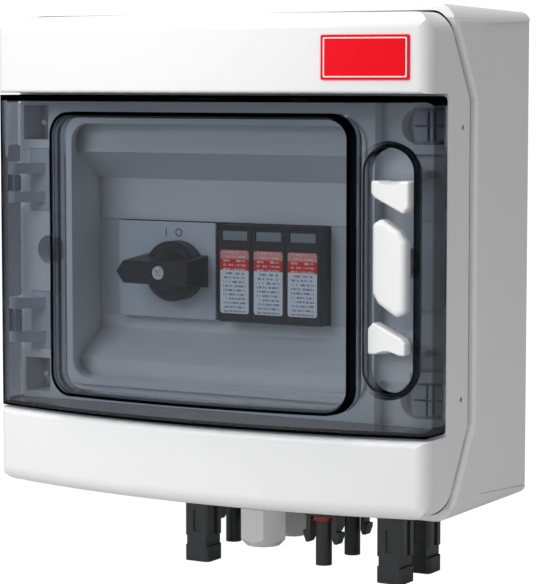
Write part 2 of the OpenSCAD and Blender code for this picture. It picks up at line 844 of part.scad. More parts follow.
module spd_base() {
  x1 = spd_x0 + 3 * plug_pitch;
  color([0.16, 0.16, 0.17]) difference() {
    along_x(spd_x0, x1) device_side(-24, -45);
    for (i = [0:2], s = [-1, 1]) {
      rod_y(spd_x0 + (i + 0.5) * plug_pitch, din_z + s * 30, -50, -36, 3.4);
      block([spd_x0 + (i + 0.5) * plug_pitch - 4, -30, din_z + s * 34 - 5],
        [spd_x0 + (i + 0.5) * plug_pitch + 4, -18, din_z + s * 34 + 5]);
      block([spd_x0 + (i + 0.5) * plug_pitch - 1.2, -30, din_z + s * 12 - 4.4],
        [spd_x0 + (i + 0.5) * plug_pitch + 1.2, -14, din_z + s * 12 + 4.4]);
    }
  }
}

module spd_terminals() {
  color([0.72, 0.68, 0.55]) for (i = [0:2], s = [-1, 1]) difference() {
    rod_y(spd_x0 + (i + 0.5) * plug_pitch, din_z + s * 30, -40, -36.1, 3.2);
    block([spd_x0 + (i + 0.5) * plug_pitch - 3, -42, din_z + s * 30 - 0.5],
      [spd_x0 + (i + 0.5) * plug_pitch + 3, -39, din_z + s * 30 + 0.5]);
  }
}

// One plug-in arrester with two blades
module spd_plug(i) {
  x = spd_x0 + (i + 0.5) * plug_pitch;
  hw = plug_w / 2;
  color([0.11, 0.11, 0.12]) difference() {
    union() {
      along_x(x - hw, x + hw) polygon([[plug_y + 1.2, din_z - 22.3], [plug_y, din_z - 21],
        [plug_y, din_z + 20.4], [plug_y + 2, din_z + 22.3], [-24.3, din_z + 22.3],
        [-24.3, din_z - 22.3]]);
      for (s = [-1, 1]) block([x - 0.6, -25, din_z + s * 12 - 3.6],
        [x + 0.6, -15, din_z + s * 12 + 3.6]);
    }
    // Thumb groove on each end and the pocket of the inspection window
    for (s = [-1, 1]) block([x - hw - 1, -60, din_z + s * 22.3 - 0.6],
      [x + hw + 1, -57, din_z + s * 22.3 + 0.6]);
    block([x - 6.9, plug_y - 1, din_z + 15], [x + 6.9, plug_y + 0.6, din_z + 19.8]);
  }
}

module spd_plug_1() { spd_plug(0); }
module spd_plug_2() { spd_plug(1); }
module spd_plug_3() { spd_plug(2); }

// Rating label on the plug face
module spd_label(i) {
  x = spd_x0 + (i + 0.5) * plug_pitch;
  color([0.82, 0.84, 0.9]) along_y(plug_y - 0.3, plug_y - 0.02)
    rrect(x - 7.5, din_z - 18.2, x + 7.5, din_z + 10.8, 1.2);
}

module spd_label_1() { spd_label(0); }
module spd_label_2() { spd_label(1); }
module spd_label_3() { spd_label(2); }

// ---------- connectors and glands in the bottom wall ----------

// Socket type: square shell with side channels and a latch notch on each side
module panel_socket(x, y) {
  end_z = -144.8;
  color([0.13, 0.13, 0.14]) translate([x, y, 0]) {
    difference() {
      union() {
        translate([0, 0, end_z]) linear_extrude(seat_z - 3 - end_z)
          rrect(-6.6, -6.6, 6.6, 6.6, 2.2);
        translate([0, 0, seat_z - 4]) cylinder(r = 9.2, h = 3.95);
        translate([0, 0, seat_z - 1]) cylinder(r = thread_r, h = 14);
      }
      translate([0, 0, end_z - 1]) cylinder(r = 4.1, h = 26);
      translate([0, 0, end_z - 1]) cylinder(r = 3, h = 60);
      for (s = [-1, 1]) {
        block([s * 6.6 - 1.1, -1.9, end_z + 12], [s * 6.6 + 1.1, 1.9, seat_z - 5]);
        block([s * 6.6 - 1.5, -7, end_z + 7.2], [s * 6.6 + 1.5, 7, end_z + 12]);
      }
      for (s = [-1, 1]) block([-1.5, s * 6.6 - 0.7, end_z + 14], [1.5, s * 6.6 + 0.7, seat_z - 9]);
    }
  }
}

// Plug type: round shroud between two latch arms
module panel_plug(x, y) {
  end_z = -140.8;
  arm_z = -130.6;
  color([0.13, 0.13, 0.14]) translate([x, y, 0]) difference() {
    union() {
      translate([0, 0, end_z]) cylinder(r = 3.7, h = seat_z - 3 - end_z);
      translate([0, 0, seat_z - 6.5]) linear_extrude(3) rrect(-8.4, -4.4, 8.4, 4.4, 1.5);
      translate([0, 0, seat_z - 4]) cylinder(r = 9.2, h = 3.95);
      translate([0, 0, seat_z - 1]) cylinder(r = thread_r, h = 14);
      for (s = [0, 1]) mirror([s, 0, 0]) translate([0, 2.6, 0]) rotate([90, 0, 0])
        linear_extrude(5.2) polygon([[5.6, seat_z - 5], [5.6, arm_z + 2], [6.6, arm_z], [8, arm_z],
          [9.4, arm_z + 3.6], [9.4, arm_z + 5.4], [7.8, arm_z + 5.4], [7.8, seat_z - 5]]);
    }
    translate([0, 0, end_z - 1]) cylinder(r = 2.6, h = 60);
  }
}

module out_socket() { panel_socket(col_out, row_front); }
module out_plug() { panel_plug(col_out, row_rear); }
module in_plug_front() { panel_plug(col_in_a, row_front); }
module in_plug_rear() { panel_plug(col_in_a, row_rear); }
module in_socket_front() { panel_socket(col_in_b, row_front); }
module in_socket_rear() { panel_socket(col_in_b, row_rear); }

// Hexagonal nut standing on the inside of the bottom wall
module lock_nut(x, y, flats, hole_r) {
  translate([x, y, seat_top_z + 0.05]) linear_extrude(nut_t) difference() {
    polygon([for (a = [30:60:330]) [flats / 2 / cos(30) * cos(a), flats / 2 / cos(30) * sin(a)]]);
    circle(r = hole_r);
  }
}

module connector_nuts() {
  color([0.15, 0.15, 0.16]) for (x = [col_out, col_in_a, col_in_b], y = [row_front, row_rear])
    lock_nut(x, y, 21, thread_r + 0.02);
}

// Crimp contacts inside the six connectors
module connector_contacts() {
  color([0.75, 0.72, 0.6]) {
    for (p = [[col_out, row_front], [col_in_b, row_front], [col_in_b, row_rear]])
      translate([p[0], p[1], -136]) difference() {
        union() {
          cylinder(r = 1.6, h = 22);
          translate([0, 0, 18]) cylinder(r = 2.95, h = 24);
        }
        translate([0, 0, 36]) cylinder(r = 2, h = 7);
      }
    for (p = [[col_out, row_rear], [col_in_a, row_front], [col_in_a, row_rear]])
      translate([p[0], p[1], -138]) difference() {
        cylinder(r = 2.55, h = 44);
        translate([0, 0, -1]) cylinder(r = 1.7, h = 18);
        translate([0, 0, 38]) cylinder(r = 1.9, h = 7);
      }
  }
}

// Sealing rings round the foot of the plug type shrouds
module plug_rings() {
  color([0.7, 0.06, 0.1]) for (p = [[col_out, row_rear], [col_in_a, row_front],
    [col_in_a, row_rear]]) translate([p[0], p[1], seat_z - 8.6]) difference() {
      cylinder(r = 4.9, h = 2);
      translate([0, 0, -1]) cylinder(r = 3.75, h = 4);
    }
}

// Gland body: thread through the wall and a hexagonal collar below it
module gland_body_at(y, hex, tr, bore, tube_r) {
  color([0.72, 0.73, 0.74]) translate([col_gland, y, 0]) difference() {
    union() {
      translate([0, 0, seat_z - 5]) linear_extrude(4.95)
        polygon([for (a = [0:60:300]) [hex / 2 / cos(30) * cos(a), hex / 2 / cos(30) * sin(a)]]);
      translate([0, 0, seat_z - 1]) cylinder(r = tr, h = 14);
      translate([0, 0, seat_z - 15]) cylinder(r = tube_r, h = 11);
    }
    translate([0, 0, seat_z - 20]) cylinder(r = bore, h = 40);
  }
}

// Dome cap that clamps the seal
module gland_cap_at(y, hex, end_z, hole) {
  top_z = seat_z - 5.3;
  color([0.72, 0.73, 0.74]) translate([col_gland, y, 0]) difference() {
    intersection() {
      translate([0, 0, end_z]) linear_extrude(top_z - end_z)
        polygon([for (a = [0:60:300]) [hex / 2 / cos(30) * cos(a), hex / 2 / cos(30) * sin(a)]]);
      union() {
        translate([0, 0, end_z + 5]) cylinder(r = hex, h = 40);
        translate([0, 0, end_z]) cylinder(r1 = hex / 2 - 2.4, r2 = hex / 2 + 2.4, h = 5.01);
      }
    }
    translate([0, 0, end_z - 1]) cylinder(r = hole, h = 40);
    translate([0, 0, end_z + 2.5]) cylinder(r = hex / 2 - 2.94, h = 40);
  }
}

// Rubber seal with the cable hole
module gland_seal_at(y, r, bore, end_z) {
  color([0.2, 0.2, 0.21]) translate([col_gland, y, end_z + 0.3]) difference() {
    cylinder(r = r, h = 14);
    translate([0, 0, -1]) cylinder(r = bore, h = 16);
  }
}

module gland_body() { gland_body_at(row_front, 21, 8, 6.1, 7.15); }
module gland_cap() { gland_cap_at(row_front, 20.4, -134.6, 6.2); }
module gland_seal() { gland_seal_at(row_front, 6.05, gland_bore_r, -134.6); }
module small_gland_body() { gland_body_at(row_rear, 17, 6, 4.1, 5.25); }
module small_gland_cap() { gland_cap_at(row_rear, 16.6, -134.6, 4.2); }
module small_gland_seal() { gland_seal_at(row_rear, 4.05, small_bore_r, -134.6); }

module gland_nuts() {
  color([0.72, 0.73, 0.74]) {
    lock_nut(col_gland, row_front, 21, 8.02);
    lock_nut(col_gland, row_rear, 16, 6.02);
  }
}

// ---------- node list ----------

base_box();
front_cover();
cover_gasket();
blank_left();
blank_right();
screws_hinge_side_upper();
screws_hinge_side_lower();
screws_latch_side_upper();
screws_latch_side_lower();
badge();
door();
hinge_bracket_upper();
hinge_bracket_lower();
hinge_pins();
latch_grip();
latch_tab_upper();
latch_tab_lower();
din_rail();
rail_screws();
isolator_body();
isolator_plate();
isolator_terminals();
isolator_knob();
knob_screw();
spd_base();
spd_terminals();
spd_plug_1();
spd_plug_2();
spd_plug_3();
spd_label_1();
spd_label_2();
spd_label_3();
out_socket();
out_plug();
in_plug_front();
in_plug_rear();
in_socket_front();
in_socket_rear();
connector_nuts();
connector_contacts();
plug_rings();
gland_body();
gland_cap();
gland_seal();
small_gland_body();
small_gland_cap();
small_gland_seal();
gland_nuts();
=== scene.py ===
"""DC combiner box: materials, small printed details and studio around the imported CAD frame."""
import json
import math

import bmesh
import bpy
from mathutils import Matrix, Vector


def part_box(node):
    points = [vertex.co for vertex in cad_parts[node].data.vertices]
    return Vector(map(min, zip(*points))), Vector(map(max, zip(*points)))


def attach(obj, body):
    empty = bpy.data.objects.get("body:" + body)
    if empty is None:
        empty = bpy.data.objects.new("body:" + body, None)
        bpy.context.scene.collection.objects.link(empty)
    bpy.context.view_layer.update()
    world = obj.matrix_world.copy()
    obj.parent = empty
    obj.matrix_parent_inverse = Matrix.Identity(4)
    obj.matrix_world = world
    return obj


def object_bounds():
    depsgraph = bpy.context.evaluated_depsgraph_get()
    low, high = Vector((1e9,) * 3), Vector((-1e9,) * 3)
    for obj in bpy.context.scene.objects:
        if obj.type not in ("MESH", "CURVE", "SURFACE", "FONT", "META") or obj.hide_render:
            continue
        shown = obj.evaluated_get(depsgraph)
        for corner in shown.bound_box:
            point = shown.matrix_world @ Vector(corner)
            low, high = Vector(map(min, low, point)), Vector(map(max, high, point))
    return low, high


MM = 0.001
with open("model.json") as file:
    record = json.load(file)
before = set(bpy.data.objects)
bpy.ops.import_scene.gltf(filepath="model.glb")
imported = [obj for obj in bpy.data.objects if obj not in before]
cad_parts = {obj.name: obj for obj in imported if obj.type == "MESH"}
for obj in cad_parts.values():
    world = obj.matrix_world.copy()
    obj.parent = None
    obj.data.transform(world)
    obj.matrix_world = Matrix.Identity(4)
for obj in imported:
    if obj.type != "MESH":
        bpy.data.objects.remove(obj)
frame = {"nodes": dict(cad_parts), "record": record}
CAD_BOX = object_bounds()
NODES = frame["nodes"]
scene = bpy.context.scene


# ---------------------------------------------------------------- node trees
class Tree:
    """A small builder for one material's node tree."""

    def __init__(self, name):
        self.mat = bpy.data.materials.new(name)
        self.mat.use_nodes = True
        self.nt = self.mat.node_tree
        self.nt.nodes.clear()
        self.out = self.new("ShaderNodeOutputMaterial")
        self.coord = self.new("ShaderNodeTexCoord").outputs["Object"]

    def new(self, kind, **props):
        n = self.nt.nodes.new(kind)
        for k, v in props.items():
            setattr(n, k, v)
        return n

    def put(self, socket, value):
        if isinstance(value, bpy.types.NodeSocket):
            self.nt.links.new(value, socket)
        elif value is not None:
            socket.default_value = value

    def math(self, op, a, b=None):
        n = self.new("ShaderNodeMath", operation=op)
        self.put(n.inputs[0], a)
        self.put(n.inputs[1], b)
        return n.outputs[0]

    def noise(self, scale, detail=2.0, rough=0.5, vector=None):
        n = self.new("ShaderNodeTexNoise")
        self.put(n.inputs["Vector"], vector or self.coord)
        self.put(n.inputs["Scale"], scale)
        self.put(n.inputs["Detail"], detail)
        self.put(n.inputs["Roughness"], rough)
        return n.outputs["Fac"]

    def remap(self, value, a, b, lo, hi):
        n = self.new("ShaderNodeMapRange")
        for socket, v in zip(n.inputs, (value, a, b, lo, hi)):
            self.put(socket, v)
        return n.outputs[0]

    def mix(self, fac, a, b):
        n = self.new("ShaderNodeMix", data_type="RGBA")
        self.put(n.inputs[0], fac)
        self.put(n.inputs[6], a)
        self.put(n.inputs[7], b)
        return n.outputs[2]

    def mix_shader(self, fac, a, b):
        n = self.new("ShaderNodeMixShader")
        for socket, v in zip(n.inputs, (fac, a, b)):
            self.put(socket, v)
        return n.outputs[0]

    def bump(self, height, strength, distance):
        n = self.new("ShaderNodeBump")
        self.put(n.inputs["Height"], height)
        self.put(n.inputs["Strength"], strength)
        self.put(n.inputs["Distance"], distance)
        return n.outputs["Normal"]

    def principled(self, color, rough, metallic=0.0, normal=None, **extra):
        n = self.new("ShaderNodeBsdfPrincipled")
        self.put(n.inputs["Base Color"], color)
        self.put(n.inputs["Roughness"], rough)
        self.put(n.inputs["Metallic"], metallic)
        self.put(n.inputs["Normal"], normal)
        for k, v in extra.items():
            self.put(n.inputs[k.replace("_", " ")], v)
        return n.outputs[0]

    def finish(self, surface):
        self.put(self.out.inputs["Surface"], surface)
        return self.mat


def rgb(r, g, b):
    """sRGB 0-255 to linear rgba."""
    def linear(c):
        return c / 12.92 if c <= 0.04045 else ((c + 0.055) / 1.055) ** 2.4
    return tuple(linear(c / 255) for c in (r, g, b)) + (1.0,)


def shade_of(color, k):
    return tuple(c * k for c in color[:3]) + (1.0,)


# ---------------------------------------------------------------- materials
def moulded(name, color, rough=0.4, grain=2600, grain_depth=0.02, tint=0.04, specular=0.5,
            painted_well_shade=None):
    """Moulded plastic: spark-eroded grain, slow flow marks in colour and gloss.
    The last argument, when given, is painted shade: narrow hollows found by ambient occlusion
    are darkened toward that colour."""
    well_reach, well_shut, well_open = 11 * MM, 0.12, 0.5
    t = Tree(name)
    flow = t.noise(14, 3)
    fine = t.noise(grain, 2, 0.6)
    ripple = t.noise(160, 2)
    col = t.mix(t.remap(flow, 0.35, 0.65, 0, 1), color, shade_of(color, 1 - tint))
    # painted shade: narrow hollows fall toward the given dark colour
    if painted_well_shade:
        reach = t.new("ShaderNodeAmbientOcclusion", samples=4, only_local=True)
        t.put(reach.inputs["Distance"], well_reach)
        col = t.mix(t.remap(reach.outputs["AO"], well_shut, well_open, 0, 1), painted_well_shade, col)
    gloss = t.math("ADD", t.remap(flow, 0.3, 0.7, rough - 0.04, rough + 0.04),
                   t.remap(fine, 0.3, 0.7, -0.03, 0.03))
    height = t.math("ADD", fine, t.math("MULTIPLY", ripple, 0.7))
    return t.finish(t.principled(col, gloss, normal=t.bump(height, 0.35, grain_depth * MM),
                                 Specular_IOR_Level=specular))


def metal(name, color, rough=0.25, stretch=(1, 1, 1), grain=900, shine=1.0):
    """Plated metal with fine drawn lines and cloudy gloss."""
    t = Tree(name)
    m = t.new("ShaderNodeMapping")
    t.put(m.inputs["Vector"], t.coord)
    t.put(m.inputs["Scale"], stretch)
    lines = t.noise(grain, 3, 0.6, m.outputs[0])
    cloud = t.noise(70, 3)
    gloss = t.math("ADD", t.remap(cloud, 0.3, 0.7, rough - 0.06, rough + 0.1),
                   t.remap(lines, 0.3, 0.7, -0.04, 0.04))
    col = t.mix(t.remap(cloud, 0.3, 0.7, 0, 1), color, shade_of(color, 0.86))
    return t.finish(t.principled(col, gloss, shine, t.bump(lines, 0.25, 0.02 * MM)))


def rubber(name, color, rough=0.6):
    """Matt rubber or foam with fine pores."""
    t = Tree(name)
    pores = t.noise(3200, 2, 0.7)
    col = t.mix(t.remap(pores, 0.3, 0.7, 0, 1), color, shade_of(color, 0.7))
    return t.finish(t.principled(col, t.remap(pores, 0.3, 0.7, rough - 0.08, rough + 0.08),
                                 normal=t.bump(pores, 0.5, 0.04 * MM)))


def off_outline(t, x, z, box, r):
    """Distance of a point from a rounded rectangle given in mm, positive outside it."""
    x0, z0, x1, z1 = box
    out = []
    for value, lo, hi in ((x, x0, x1), (z, z0, z1)):
        off_mid = t.math("ABSOLUTE", t.math("SUBTRACT", value, (lo + hi) / 2 * MM))
        past = t.math("MAXIMUM", t.math("SUBTRACT", off_mid, ((hi - lo) / 2 - r) * MM), 0.0)
        out.append(t.math("MULTIPLY", past, past))
    return t.math("SUBTRACT", t.math("SQRT", t.math("ADD", *out)), r * MM)


# Places on the door where its glass colour is painted dark, in mm: painted shade for the dark
# that refraction and long paths give along edges, rims and outlines.
DOOR_LEFT_MM = (-111.8, -112.2)          # skirt edges: where the dark starts and is full
DOOR_RIMS_MM = ((69.8, 70.0), (-70.8, -71.2))
WINDOW_MM, WINDOW_CORNER_MM = (-71.4, -63.3, 81.5, 65), 11
WINDOW_SIDE_MM, WINDOW_FRONT_MM = (80.7, 81.0), (-109.4, -110.0)
POCKET_MM, POCKET_CORNER_MM = (83.3, -54.8, 107.2, 52.4), 11.95
POCKET_FADE_MM = (87.2, 95.2)
# near black that the painted shade on the door glass goes to
PAINTED_EDGE_SHADE = (0.02, 0.02, 0.025, 1)


def smoke(name):
    """Smoke tinted polycarbonate: refracts, and its body absorbs. Edges and slanted faces that
    the camera meets first get painted shade in the glass colour. Lighting rays pass the surface
    without bending."""
    absorb_per_m = (234.0, 210.0, 181.0)
    density = 400.0
    t = Tree(name)
    wave = t.noise(30, 1)
    fine = t.noise(900, 2)
    glass = t.new("ShaderNodeBsdfGlass")
    t.put(glass.inputs["IOR"], 1.5)
    t.put(glass.inputs["Roughness"], t.remap(fine, 0.3, 0.7, 0.0, 0.006))
    t.put(glass.inputs["Normal"], t.bump(wave, 0.05, 0.3 * MM))
    path = t.new("ShaderNodeLightPath").outputs
    first_hit = path["Is Camera Ray"]
    sep = t.new("ShaderNodeSeparateXYZ")
    t.put(sep.inputs[0], t.coord)
    x, y, z = (sep.outputs[axis] for axis in "XYZ")

    def past(value, limits):
        """0 before the first limit in mm, 1 after the second."""
        return t.remap(value, limits[0] * MM, limits[1] * MM, 0, 1)

    # painted shade: faces slanted away from the camera are darkened, fully for camera rays and a
    # tenth as much for other rays
    slant = t.new("ShaderNodeLayerWeight")
    t.put(slant.inputs["Blend"], 0.5)
    painted_slant_shade = t.math("MULTIPLY", t.remap(first_hit, 0, 1, 0.1, 1),
                    t.remap(slant.outputs["Facing"], 0.32, 0.72, 0, 1))
    # painted shade: the left skirt edge is darkened for camera rays, the top and bottom rims for
    # all rays
    edge = t.math("MAXIMUM", painted_slant_shade, t.math("MULTIPLY", first_hit, past(x, DOOR_LEFT_MM)))
    for limits in DOOR_RIMS_MM:
        edge = t.math("MAXIMUM", edge, past(z, limits))
    # painted shade: the front half of the raised window's right side is darkened for camera rays
    painted_wall_shade = t.math("MULTIPLY", past(x, WINDOW_SIDE_MM), past(y, WINDOW_FRONT_MM))
    # painted shade: dark rings along the rounded outlines of the latch pocket and the raised
    # window, for camera rays
    off_pocket = t.math("ABSOLUTE", off_outline(t, x, z, POCKET_MM, POCKET_CORNER_MM))
    off_window = t.math("ABSOLUTE", t.math("ADD", 0.6 * MM, off_outline(
        t, x, z, WINDOW_MM, WINDOW_CORNER_MM)))
    fade = t.remap(x, POCKET_FADE_MM[0] * MM, POCKET_FADE_MM[1] * MM, 0.15, 0.9)
    ring = t.math("MAXIMUM", t.remap(off_window, 0.7 * MM, 0.9 * MM, 1, 0),
                  t.math("MULTIPLY", t.remap(off_pocket, 1.2 * MM, 1.5 * MM, 1, 0), fade))
    edge = t.math("MAXIMUM", edge, t.math("MULTIPLY", first_hit, t.math("MAXIMUM", painted_wall_shade, ring)))
    # the painted shade takes the glass colour toward near black
    t.put(glass.inputs["Color"], t.mix(edge, (1, 1, 1, 1), PAINTED_EDGE_SHADE))
    clear = t.new("ShaderNodeBsdfTransparent")
    t.put(clear.inputs["Color"], (0.96, 0.96, 0.96, 1))
    lighting = t.math("MAXIMUM", path["Is Shadow Ray"], path["Is Diffuse Ray"])
    body = t.new("ShaderNodeVolumeAbsorption")
    t.put(body.inputs["Density"], density)
    t.put(body.inputs["Color"], tuple(1 - s / density for s in absorb_per_m) + (1,))
    t.put(t.out.inputs["Volume"], body.outputs[0])
    return t.finish(t.mix_shader(lighting, glass.outputs[0], clear.outputs[0]))


def label_film(name, x_mid, z_low, z_high):
    """Printed rating film: red head over a pale field with rows of unreadable dashes."""
    rows_count, row_half, row_shift = 15, 0.24, 7.3
    dashes_per_mm, dash_cut = 1.5, 0.48
    ink_half_width, ink_strength = 5.9, 0.8
    head_from, crown_from = 0.685, 0.862
    t = Tree(name)
    sep = t.new("ShaderNodeSeparateXYZ")
    t.put(sep.inputs[0], t.coord)
    u = t.math("MULTIPLY", t.math("SUBTRACT", sep.outputs["X"], x_mid), 1 / MM)
    v = t.math("DIVIDE", t.math("SUBTRACT", sep.outputs["Z"], z_low), z_high - z_low)
    rows = t.math("MULTIPLY", v, rows_count)
    in_row = t.math("SUBTRACT", t.math("FRACT", rows), 0.5)
    line = t.math("LESS_THAN", t.math("ABSOLUTE", in_row), row_half)
    vec = t.new("ShaderNodeCombineXYZ")
    t.put(vec.inputs[0], u)
    t.put(vec.inputs[1], t.math("MULTIPLY", t.math("FLOOR", rows), row_shift))
    dash = t.math("GREATER_THAN", t.noise(dashes_per_mm, 1, 0.4, vec.outputs[0]),
                  dash_cut)
    inside = t.math("LESS_THAN", t.math("ABSOLUTE", u), ink_half_width)
    ink = t.math("MULTIPLY", t.math("MULTIPLY", line, dash), inside)
    head = t.math("GREATER_THAN", v, head_from)
    crown = t.math("GREATER_THAN", v, crown_from)
    field = t.mix(crown, t.mix(head, rgb(232, 236, 242), rgb(226, 34, 14)), rgb(236, 150, 140))
    print_col = t.mix(head, rgb(96, 100, 112), rgb(248, 226, 220))
    col = t.mix(t.math("MULTIPLY", ink, ink_strength), field, print_col)
    fleck = t.noise(1500, 2)
    col = t.mix(t.remap(fleck, 0.4, 0.6, 0, 0.05), col, rgb(120, 125, 140))
    # The film also glows faintly in its own colour: painted light that lifts it above the lit
    # parts near it.
    return t.finish(t.principled(col, t.remap(fleck, 0.3, 0.7, 0.34, 0.46),
                                 normal=t.bump(fleck, 0.1, 0.01 * MM),
                                 Emission_Color=col, Emission_Strength=0.12))


HOUSING = rgb(236, 236, 236)
MAT = {
    # The dark colours given for the housing and the screws are painted shade for their narrow
    # hollows.
    "housing": moulded("housing_white", HOUSING, 0.42, 1900, 0.025, 0.012,
                       painted_well_shade=rgb(112, 104, 102)),
    "gasket": rubber("gasket_foam", rgb(206, 206, 208)),
    "mask_filler": moulded("filler_grey", rgb(214, 216, 219), 0.45),
    "cover_screw": moulded("screw_plastic", rgb(205, 207, 211), 0.35, painted_well_shade=rgb(60, 60, 62)),
    "badge": moulded("badge_red", rgb(240, 0, 24), 0.45, 3000, 0.01, 0.03, 0.15),
    "tinted_door": smoke("smoke_door"),
    "hinge": moulded("hinge_grey", rgb(208, 212, 218), 0.4),
    "latch": moulded("latch_white", rgb(240, 240, 240), 0.34, 2400, 0.012, 0.01),
    "zinc_rail": metal("zinc_rail", rgb(190, 193, 198), 0.35, (1, 12, 12)),
    "steel": metal("bright_steel", rgb(250, 250, 252), 0.22, shine=0.2),
    "device_black": moulded("device_black", rgb(40, 40, 43), 0.42, 2600, 0.03, 0.2),
    "spd_base": moulded("arrester_black", rgb(18, 18, 20), 0.42, 2600, 0.03, 0.2),
    "device_grey": moulded("device_grey", rgb(222, 225, 230), 0.45, 2600, 0.02, 0.03),
    "terminal": metal("terminal_plate", rgb(196, 190, 170), 0.3),
    "connector": moulded("connector_black", rgb(60, 61, 63), 0.38, 2600, 0.03, 0.2),
    "contact": metal("contact_tin", rgb(205, 200, 184), 0.25, (1, 1, 10)),
    "ring_red": rubber("ring_red", rgb(176, 24, 36), 0.35),
    "gland": moulded("gland_grey", rgb(248, 248, 249), 0.4, 2600, 0.03, 0.04),
    "seal_rubber": rubber("seal_rubber", rgb(60, 61, 63)),
}
PRINT_DARK = moulded("print_dark", rgb(40, 42, 48), 0.5, 3000, 0.005)
PRINT_WHITE = moulded("print_white", rgb(250, 250, 250), 0.45, 3000, 0.005, 0.01)
PANE = moulded("window_pane", rgb(150, 158, 160), 0.15, 3000, 0.004, 0.06)

SLOT = {s["node"]: s["material_slot"] for s in frame["record"]["subparts"]}


# ---------------------------------------------------------------- CAD nodes
def mark_sharp(obj, angle):
    """Smooth shading that keeps edges sharper than the angle."""
    bm = bmesh.new()
    bm.from_mesh(obj.data)
    limit = math.radians(angle)
    for f in bm.faces:
        f.smooth = True
    for e in bm.edges:
        e.smooth = len(e.link_faces) == 2 and e.calc_face_angle(0) < limit
    bm.to_mesh(obj.data)
    bm.free()


def soften(obj, width, segments=2):
    """Break the sharp edges: flat facets are merged, edges bevelled, normals weighted."""
    flat = obj.modifiers.new("flat", "DECIMATE")
    flat.decimate_type = "DISSOLVE"
    flat.angle_limit = math.radians(0.4)
    bevel = obj.modifiers.new("edge", "BEVEL")
    bevel.limit_method = "ANGLE"
    bevel.angle_limit = math.radians(34)
    bevel.width = width * MM
    bevel.segments = segments
    bevel.use_clamp_overlap = True
    bevel.miter_outer = "MITER_ARC"
    normals = obj.modifiers.new("normals", "WEIGHTED_NORMAL")
    normals.keep_sharp = True
    normals.weight = 80


EDGE = {
    "isolator_body": 0.4, "isolator_plate": 0.25, "isolator_knob": 0.5, "spd_base": 0.3,
    "spd_plug_1": 0.5, "spd_plug_2": 0.5, "spd_plug_3": 0.5, "hinge_bracket_upper": 0.4,
    "hinge_bracket_lower": 0.4, "blank_left": 0.3, "blank_right": 0.3, "badge": 0.2,
    "out_socket": 0.3, "out_plug": 0.3, "in_plug_front": 0.3, "in_plug_rear": 0.3,
    "in_socket_front": 0.3, "in_socket_rear": 0.3, "gland_body": 0.4, "gland_cap": 0.5,
    "small_gland_body": 0.4, "small_gland_cap": 0.5, "screws_latch_side_upper": 0.25,
    "screws_latch_side_lower": 0.25, "din_rail": 0.15,
}

for name, obj in NODES.items():
    if SLOT[name] == "label":
        lo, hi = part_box(name)
        mat = label_film("film_" + name, (lo.x + hi.x) / 2, lo.z, hi.z)
    else:
        mat = MAT.get(name) or MAT[SLOT[name]]
    obj.data.materials.clear()
    obj.data.materials.append(mat)
    mark_sharp(obj, 32)
    if name in EDGE:
        soften(obj, EDGE[name])


# ---------------------------------------------------------------- small pieces
def piece(name, bm, mat, body):
    me = bpy.data.meshes.new(name)
    bmesh.ops.recalc_face_normals(bm, faces=bm.faces)
    bm.to_mesh(me)
    bm.free()
    obj = bpy.data.objects.new(name, me)
    scene.collection.objects.link(obj)
    me.materials.append(mat)
    mark_sharp(obj, 32)
    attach(obj, body)
    return obj


def outline(x0, z0, x1, z1, r, steps=6):
    """Rounded rectangle in X-Z, counter-clockwise."""
    pts = []
    for cx, cz, a0 in ((x1 - r, z1 - r, 0), (x0 + r, z1 - r, 90), (x0 + r, z0 + r, 180),
                       (x1 - r, z0 + r, 270)):
        for i in range(steps + 1):
            a = math.radians(a0 + 90 * i / steps)
            pts.append((cx + r * math.cos(a), cz + r * math.sin(a)))
    return pts


def slab(bm, pts, y_of, thick, edge):
    """Closed plate over an X-Z outline; y_of(x) is the surface it lies on, edge its round."""
    mid_x = sum(p[0] for p in pts) / len(pts)
    mid_z = sum(p[1] for p in pts) / len(pts)
    half_w = max(abs(p[0] - mid_x) for p in pts)
    half_h = max(abs(p[1] - mid_z) for p in pts)
    rings = []
    for inset, depth in ((0, 0), (0, thick - edge), (edge * 0.3, thick - edge * 0.3),
                         (edge, thick)):
        ring = []
        for x, z in pts:
            px = mid_x + (x - mid_x) * (1 - inset / half_w)
            pz = mid_z + (z - mid_z) * (1 - inset / half_h)
            ring.append(bm.verts.new((px, y_of(px) - depth, pz)))
        rings.append(ring)
    n = len(pts)
    for a, b in zip(rings, rings[1:]):
        for i in range(n):
            bm.faces.new((a[i], a[(i + 1) % n], b[(i + 1) % n], b[i]))
    bm.faces.new(rings[0])
    bm.faces.new(rings[-1])


def frame_band(bm, outer, inner, y_of, thick):
    """Closed flat band between two outlines of equal length on the surface y_of(x)."""
    n = len(outer)
    rings = []
    for pts, depth in ((outer, 0), (outer, thick), (inner, thick), (inner, 0)):
        rings.append([bm.verts.new((x, y_of(x) - depth, z)) for x, z in pts])
    for k in range(4):
        a, b = rings[k], rings[(k + 1) % 4]
        for i in range(n):
            bm.faces.new((a[i], a[(i + 1) % n], b[(i + 1) % n], b[i]))


